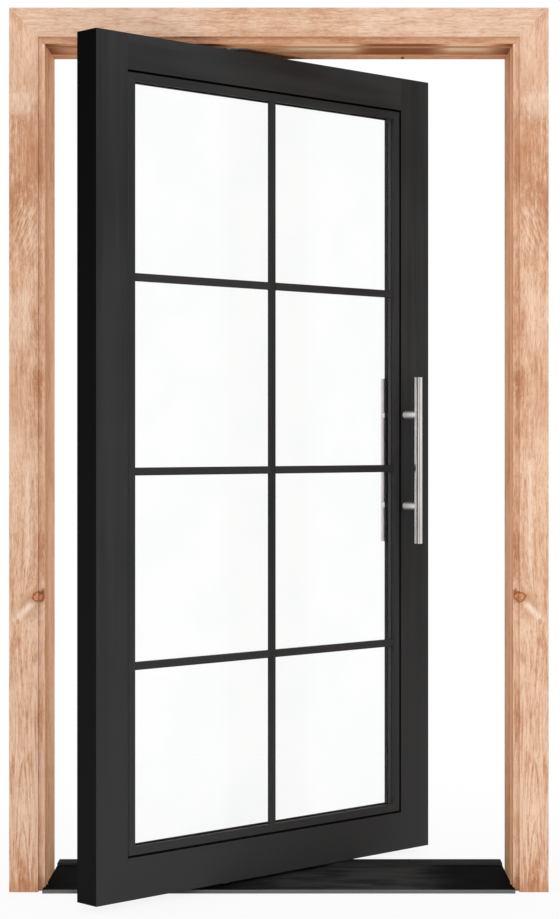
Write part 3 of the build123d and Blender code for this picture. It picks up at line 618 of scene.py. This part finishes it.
# Painted shade: the leaf's long edges and its shadow gap are a deeper black. Painted light: the gap's pivot
# side and the bead's outer side are a paler black
for node, outwards in (("pivot_stile", -along_leaf), ("handle_stile", along_leaf)):
    outermost = max((vertex.co - pivot).dot(outwards) for vertex in nodes[node].data.vertices)
    finish_faces(node, materials["leaf_edge_and_gap_painted_shade"], lambda normal, centre: (
        normal.dot(outwards) > EDGE_SHARE and (centre - pivot).dot(outwards) > outermost - EDGE_BAND))
for node in ("handle_stile", "top_rail", "bottom_rail"):
    finish_faces(node, materials["leaf_edge_and_gap_painted_shade"], in_gap)
finish_faces("pivot_stile", materials["leaf_gap_painted_light"], in_gap)
finish_faces("bead_left", materials["leaf_gap_painted_light"], lambda normal, centre: normal.dot(along_leaf) < -EDGE_SHARE)

# Front edges of the jamb boards, the left one paler by painted light and the head's darker by painted shade,
# and the sill's front lip
for node, kind in (("jamb_left", "left_edge_painted_light"), ("jamb_right", "upright"), ("head_board", "head_edge_painted_shade")):
    finish_faces(node, wood_finishes[kind], lambda normal, centre: normal.y < FRONT_SHARE)
finish_faces("sill", materials["sill_lip"], lambda normal, centre: centre.y < LIP_DEPTH)


def floor_material():
    """Pale floor: white where the camera sees it, but for the object's shadow near the door."""
    g = material_graph("pale_floor")
    place = g.place()
    colour = g.mix(g.span(g.noise(place, 3.0, 3.0), 0.3, 0.7), FLOOR_DARKER, FLOOR_PALER)
    diffuse = g.add("ShaderNodeBsdfDiffuse", {"Color": colour})
    glow = g.add("ShaderNodeEmission", {"Color": WHITE, "Strength": 1.0})
    x, y, _ = g.split(place)
    share = g.span(g.reach(x, y), GLOW_NEAR, GLOW_FAR, FLOOR_GLOW, 1.0)
    return g.output(g.either(g.product(g.looked_at(), share), diffuse, glow))


def turn_towards(place, aim):
    """Rotation that points a lamp or card at something."""
    return (Vector(aim) - Vector(place)).to_track_quat("-Z", "Y").to_euler()


bpy.ops.mesh.primitive_plane_add(size=FLOOR_SIZE, location=(0, 0, -FLOOR_DROP))
floor = bpy.context.object
floor.name = "floor"
floor.data.materials.append(floor_material())

# Background: white to the camera and in reflections, dimmer as light on the object
world = bpy.data.worlds.new("studio")
bpy.context.scene.world = world
g = Graph(world)
dim = g.add("ShaderNodeBackground", {"Color": WHITE, "Strength": AMBIENT})
white = g.add("ShaderNodeBackground", {"Color": WHITE, "Strength": 1.0})
g.output(g.either(g.looked_at(), dim, white), "ShaderNodeOutputWorld")

for name, (place, aim, power) in LAMPS.items():
    data = bpy.data.lights.new(name, "AREA")
    data.shape = "RECTANGLE"
    data.size = LAMP_SIZE
    data.size_y = LAMP_SIZE
    data.energy = power
    lamp = bpy.data.objects.new(name, data)
    bpy.context.scene.collection.objects.link(lamp)
    lamp.location = place
    lamp.rotation_euler = turn_towards(place, aim)
    lamp.visible_camera = False
    lamp.visible_glossy = False

bpy.ops.mesh.primitive_plane_add(size=1.0, location=CARD_PLACE)
card = bpy.context.object
card.name = "black_card"
card.scale = (CARD_WIDTH, CARD_HEIGHT, 1.0)
card.rotation_euler = turn_towards(CARD_PLACE, CARD_AIM)
card_material = soft_plain("card_black", srgb(24, 24, 24), rough=0.9, cells=40.0, relief=0.0002)
card.data.materials.append(card_material)
for ray in ("camera", "diffuse", "shadow", "transmission", "volume_scatter"):
    setattr(card, "visible_" + ray, False)

camera_data = bpy.data.cameras.new("camera")
camera_data.sensor_width = SENSOR_MM
camera_data.lens = FOCAL_PIXELS / PHOTO_HEIGHT * SENSOR_MM
camera_data.shift_x = -(CENTRE_X - PHOTO_WIDTH / 2) / PHOTO_HEIGHT
camera_data.shift_y = -(PHOTO_HEIGHT / 2 - CENTRE_Y) / PHOTO_HEIGHT
camera = bpy.data.objects.new("camera", camera_data)
bpy.context.scene.collection.objects.link(camera)
camera.location = CAMERA_PLACE
camera.rotation_euler = (math.pi / 2, 0.0, 0.0)
bpy.context.scene.camera = camera
bpy.context.scene.view_settings.view_transform = "Standard"
